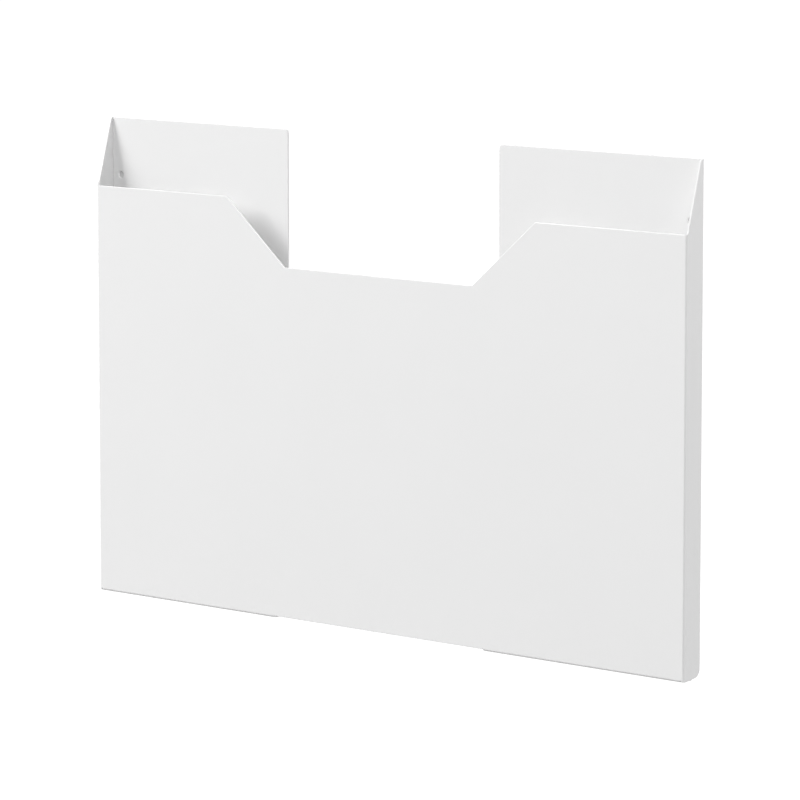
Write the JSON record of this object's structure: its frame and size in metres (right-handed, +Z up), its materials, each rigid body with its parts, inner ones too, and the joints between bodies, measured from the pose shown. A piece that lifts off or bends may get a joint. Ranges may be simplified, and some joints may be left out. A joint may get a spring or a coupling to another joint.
{
  "type": "wall-hung magazine file holder",
  "caption": "Slim wall-hung magazine pocket of folded white sheet steel, open at the top, with a trapezoid grip cut-out in the front and separate screw-on back plates.",
  "frame": {"origin": "on the wall plane, midway between the two screw holes in the back plates", "axes": "+X along the holder's width, to the right as seen from the front; +Y into the wall; +Z up"},
  "size_m": [0.48, 0.0148, 0.3034],
  "materials": {
    "front_panel_coat": "white powder coat, satin",
    "left_back_plate_coat": "white powder coat, satin",
    "right_back_plate_coat": "white powder coat, satin"
  },
  "bodies": {
    "root": {"front_panel": "front_panel_coat", "left_back_plate": "left_back_plate_coat", "right_back_plate": "right_back_plate_coat"}
  },
  "joints": []
}
